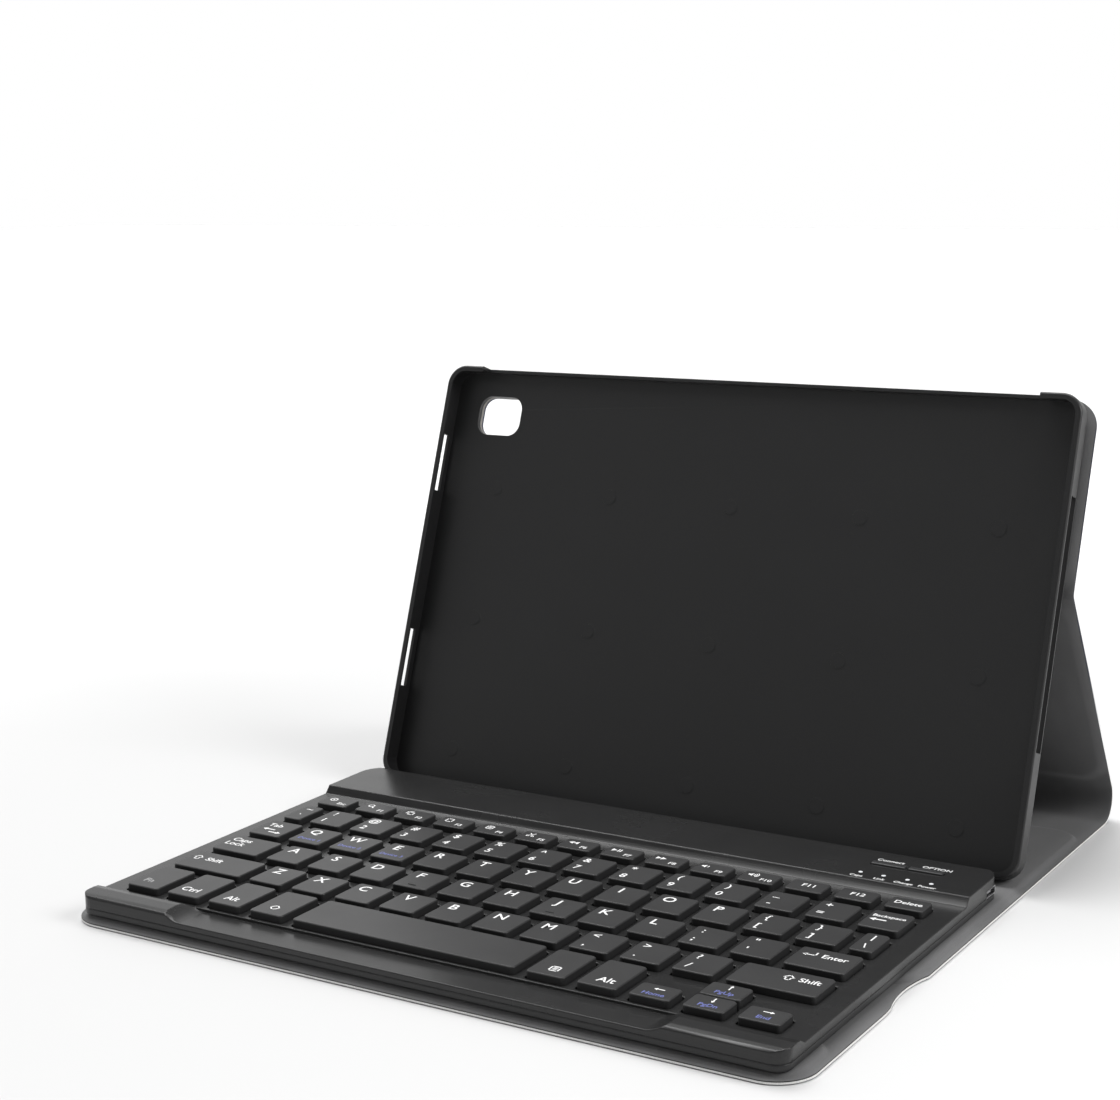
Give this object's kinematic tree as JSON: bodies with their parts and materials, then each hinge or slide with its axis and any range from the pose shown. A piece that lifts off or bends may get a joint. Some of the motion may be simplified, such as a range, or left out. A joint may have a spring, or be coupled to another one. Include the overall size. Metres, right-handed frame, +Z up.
{
  "type": "tablet keyboard case",
  "caption": "Folio tablet case standing open, with a fold-out stand, a snap-in tablet tray and a slim magnetic wireless keyboard on its front cover.",
  "frame": {"origin": "on the table, in the middle of the flat underside of the front cover", "axes": "+X to the typist's right, +Y to the back, +Z up"},
  "size_m": [0.254, 0.2563, 0.1545],
  "materials": {
    "outer_leather": "fine pebble grain, low sheen",
    "lining_cloth": "smooth microfibre",
    "greyboard": "plain pressed board",
    "tray_plastic": "fine matt",
    "deck_plastic": "fine hairline, semi-gloss",
    "case_plastic": "satin",
    "keycap_plastic": "satin matt",
    "button_plastic": "satin",
    "circuit_board": "solder mask",
    "steel": "brushed",
    "magnet": "plated",
    "silicone": "translucent white",
    "hinge_plastic": "natural",
    "membrane_film": "printed film",
    "battery_foil": "foil pouch",
    "lamp_plastic": "clear moulded",
    "tape": "foam adhesive"
  },
  "bodies": {
    "cover": {"cover_skin": "outer_leather", "cover_board": "greyboard", "cover_lining": "lining_cloth", "cover_magnets": "magnet", "spine_skin": "outer_leather", "spine_lining": "lining_cloth"},
    "wrap": {"wrap_skin": "outer_leather", "wrap_lining": "lining_cloth"},
    "flap": {"flap_skin": "outer_leather", "flap_board": "greyboard", "flap_lining": "lining_cloth", "flap_magnets": "magnet"},
    "stand": {"stand_skin": "outer_leather", "stand_board": "greyboard", "stand_lining": "lining_cloth"},
    "tray": {"back_skin": "outer_leather", "back_board": "greyboard", "back_lining": "lining_cloth", "tray_tape": "tape", "tray_shell": "tray_plastic"},
    "keyboard": {"keyboard_top_case": "deck_plastic", "keyboard_bottom_case": "case_plastic", "case_screws": "steel", "support_plate": "steel", "membrane_sheet": "membrane_film", "rubber_domes": "silicone", "scissor_hinges": "hinge_plastic", "control_board": "circuit_board", "battery": "battery_foil", "charging_port": "steel", "tact_switches": "case_plastic", "status_leds": "lamp_plastic", "light_pipes": "lamp_plastic", "switch_housing": "case_plastic", "keyboard_magnets": "magnet"},
    "alt_key_left": {"alt_key_left": "keycap_plastic"},
    "alt_key_right": {"alt_key_right": "keycap_plastic"},
    "arrow_key_down": {"arrow_key_down": "keycap_plastic"},
    "arrow_key_left": {"arrow_key_left": "keycap_plastic"},
    "arrow_key_right": {"arrow_key_right": "keycap_plastic"},
    "arrow_key_up": {"arrow_key_up": "keycap_plastic"},
    "backspace_key": {"backspace_key": "keycap_plastic"},
    "caps_key": {"caps_key": "keycap_plastic"},
    "control_key": {"control_key": "keycap_plastic"},
    "enter_key": {"enter_key": "keycap_plastic"},
    "fn_key": {"fn_key": "keycap_plastic"},
    "function_keys": {"function_keys": "keycap_plastic"},
    "letter_keys_home": {"letter_keys_home": "keycap_plastic"},
    "letter_keys_lower": {"letter_keys_lower": "keycap_plastic"},
    "letter_keys_upper": {"letter_keys_upper": "keycap_plastic"},
    "menu_key": {"menu_key": "keycap_plastic"},
    "number_keys": {"number_keys": "keycap_plastic"},
    "shift_key_left": {"shift_key_left": "keycap_plastic"},
    "shift_key_right": {"shift_key_right": "keycap_plastic"},
    "space_bar": {"space_bar": "keycap_plastic"},
    "system_key": {"system_key": "keycap_plastic"},
    "tab_key": {"tab_key": "keycap_plastic"},
    "connect_button": {"connect_button": "button_plastic"},
    "option_button": {"option_button": "button_plastic"},
    "power_switch": {"power_switch": "button_plastic"}
  },
  "joints": [
    {"name": "wrap_fold", "type": "hinge", "parent": "cover", "child": "wrap", "pos_m": [0, -0.047, 0], "axis": [1, 0, 0], "range_deg": [0, 90]},
    {"name": "flap_fold", "type": "hinge", "parent": "wrap", "child": "flap", "pos_m": [0, -0.089, 0], "axis": [1, 0, 0], "range_deg": [0, 90]},
    {"name": "keyboard_slide", "type": "slide", "parent": "cover", "child": "keyboard", "axis": [0, -1, 0], "range_m": [0, 0.06]},
    {"name": "stand_fold", "type": "hinge", "parent": "cover", "child": "stand", "pos_m": [0, 0.13431, 0.01273], "axis": [1, 0, 0], "range_deg": [-126, 0]},
    {"name": "tray_fold", "type": "hinge", "parent": "stand", "child": "tray", "pos_m": [0, 0.08636, 0.08948], "axis": [1, 0, 0], "range_deg": [0, 52]},
    {"name": "alt_key_left_press", "type": "slide", "parent": "keyboard", "child": "alt_key_left", "axis": [0, 0, -1], "range_m": [0, 0.0015], "stiffness_N_per_m": 300, "springref_m": -0.0007},
    {"name": "alt_key_right_press", "type": "slide", "parent": "keyboard", "child": "alt_key_right", "axis": [0, 0, -1], "range_m": [0, 0.0015], "stiffness_N_per_m": 300, "springref_m": -0.0007},
    {"name": "arrow_key_down_press", "type": "slide", "parent": "keyboard", "child": "arrow_key_down", "axis": [0, 0, -1], "range_m": [0, 0.0015], "stiffness_N_per_m": 300, "springref_m": -0.0007},
    {"name": "arrow_key_left_press", "type": "slide", "parent": "keyboard", "child": "arrow_key_left", "axis": [0, 0, -1], "range_m": [0, 0.0015], "stiffness_N_per_m": 300, "springref_m": -0.0007},
    {"name": "arrow_key_right_press", "type": "slide", "parent": "keyboard", "child": "arrow_key_right", "axis": [0, 0, -1], "range_m": [0, 0.0015], "stiffness_N_per_m": 300, "springref_m": -0.0007},
    {"name": "arrow_key_up_press", "type": "slide", "parent": "keyboard", "child": "arrow_key_up", "axis": [0, 0, -1], "range_m": [0, 0.0015], "stiffness_N_per_m": 300, "springref_m": -0.0007},
    {"name": "backspace_key_press", "type": "slide", "parent": "keyboard", "child": "backspace_key", "axis": [0, 0, -1], "range_m": [0, 0.0015], "stiffness_N_per_m": 300, "springref_m": -0.0007},
    {"name": "caps_key_press", "type": "slide", "parent": "keyboard", "child": "caps_key", "axis": [0, 0, -1], "range_m": [0, 0.0015], "stiffness_N_per_m": 300, "springref_m": -0.0007},
    {"name": "control_key_press", "type": "slide", "parent": "keyboard", "child": "control_key", "axis": [0, 0, -1], "range_m": [0, 0.0015], "stiffness_N_per_m": 300, "springref_m": -0.0007},
    {"name": "enter_key_press", "type": "slide", "parent": "keyboard", "child": "enter_key", "axis": [0, 0, -1], "range_m": [0, 0.0015], "stiffness_N_per_m": 300, "springref_m": -0.0007},
    {"name": "fn_key_press", "type": "slide", "parent": "keyboard", "child": "fn_key", "axis": [0, 0, -1], "range_m": [0, 0.0015], "stiffness_N_per_m": 300, "springref_m": -0.0007},
    {"name": "function_keys_press", "type": "slide", "parent": "keyboard", "child": "function_keys", "axis": [0, 0, -1], "range_m": [0, 0.0015], "stiffness_N_per_m": 1500, "springref_m": -0.0007},
    {"name": "letter_keys_home_press", "type": "slide", "parent": "keyboard", "child": "letter_keys_home", "axis": [0, 0, -1], "range_m": [0, 0.0015], "stiffness_N_per_m": 1500, "springref_m": -0.0007},
    {"name": "letter_keys_lower_press", "type": "slide", "parent": "keyboard", "child": "letter_keys_lower", "axis": [0, 0, -1], "range_m": [0, 0.0015], "stiffness_N_per_m": 1500, "springref_m": -0.0007},
    {"name": "letter_keys_upper_press", "type": "slide", "parent": "keyboard", "child": "letter_keys_upper", "axis": [0, 0, -1], "range_m": [0, 0.0015], "stiffness_N_per_m": 1500, "springref_m": -0.0007},
    {"name": "menu_key_press", "type": "slide", "parent": "keyboard", "child": "menu_key", "axis": [0, 0, -1], "range_m": [0, 0.0015], "stiffness_N_per_m": 300, "springref_m": -0.0007},
    {"name": "number_keys_press", "type": "slide", "parent": "keyboard", "child": "number_keys", "axis": [0, 0, -1], "range_m": [0, 0.0015], "stiffness_N_per_m": 1500, "springref_m": -0.0007},
    {"name": "shift_key_left_press", "type": "slide", "parent": "keyboard", "child": "shift_key_left", "axis": [0, 0, -1], "range_m": [0, 0.0015], "stiffness_N_per_m": 300, "springref_m": -0.0007},
    {"name": "shift_key_right_press", "type": "slide", "parent": "keyboard", "child": "shift_key_right", "axis": [0, 0, -1], "range_m": [0, 0.0015], "stiffness_N_per_m": 300, "springref_m": -0.0007},
    {"name": "space_bar_press", "type": "slide", "parent": "keyboard", "child": "space_bar", "axis": [0, 0, -1], "range_m": [0, 0.0015], "stiffness_N_per_m": 300, "springref_m": -0.0007},
    {"name": "system_key_press", "type": "slide", "parent": "keyboard", "child": "system_key", "axis": [0, 0, -1], "range_m": [0, 0.0015], "stiffness_N_per_m": 300, "springref_m": -0.0007},
    {"name": "tab_key_press", "type": "slide", "parent": "keyboard", "child": "tab_key", "axis": [0, 0, -1], "range_m": [0, 0.0015], "stiffness_N_per_m": 300, "springref_m": -0.0007},
    {"name": "connect_button_press", "type": "slide", "parent": "keyboard", "child": "connect_button", "axis": [0, 0, -1], "range_m": [0, 0.0004], "stiffness_N_per_m": 1500, "springref_m": -0.0003},
    {"name": "option_button_press", "type": "slide", "parent": "keyboard", "child": "option_button", "axis": [0, 0, -1], "range_m": [0, 0.0004], "stiffness_N_per_m": 1500, "springref_m": -0.0003},
    {"name": "power_switch_slide", "type": "slide", "parent": "keyboard", "child": "power_switch", "axis": [0, 1, 0], "range_m": [0, 0.003]}
  ],
  "couplings": [
    {"joint": "tray_fold", "follows": "stand_fold", "ratio": -0.4127}
  ]
}
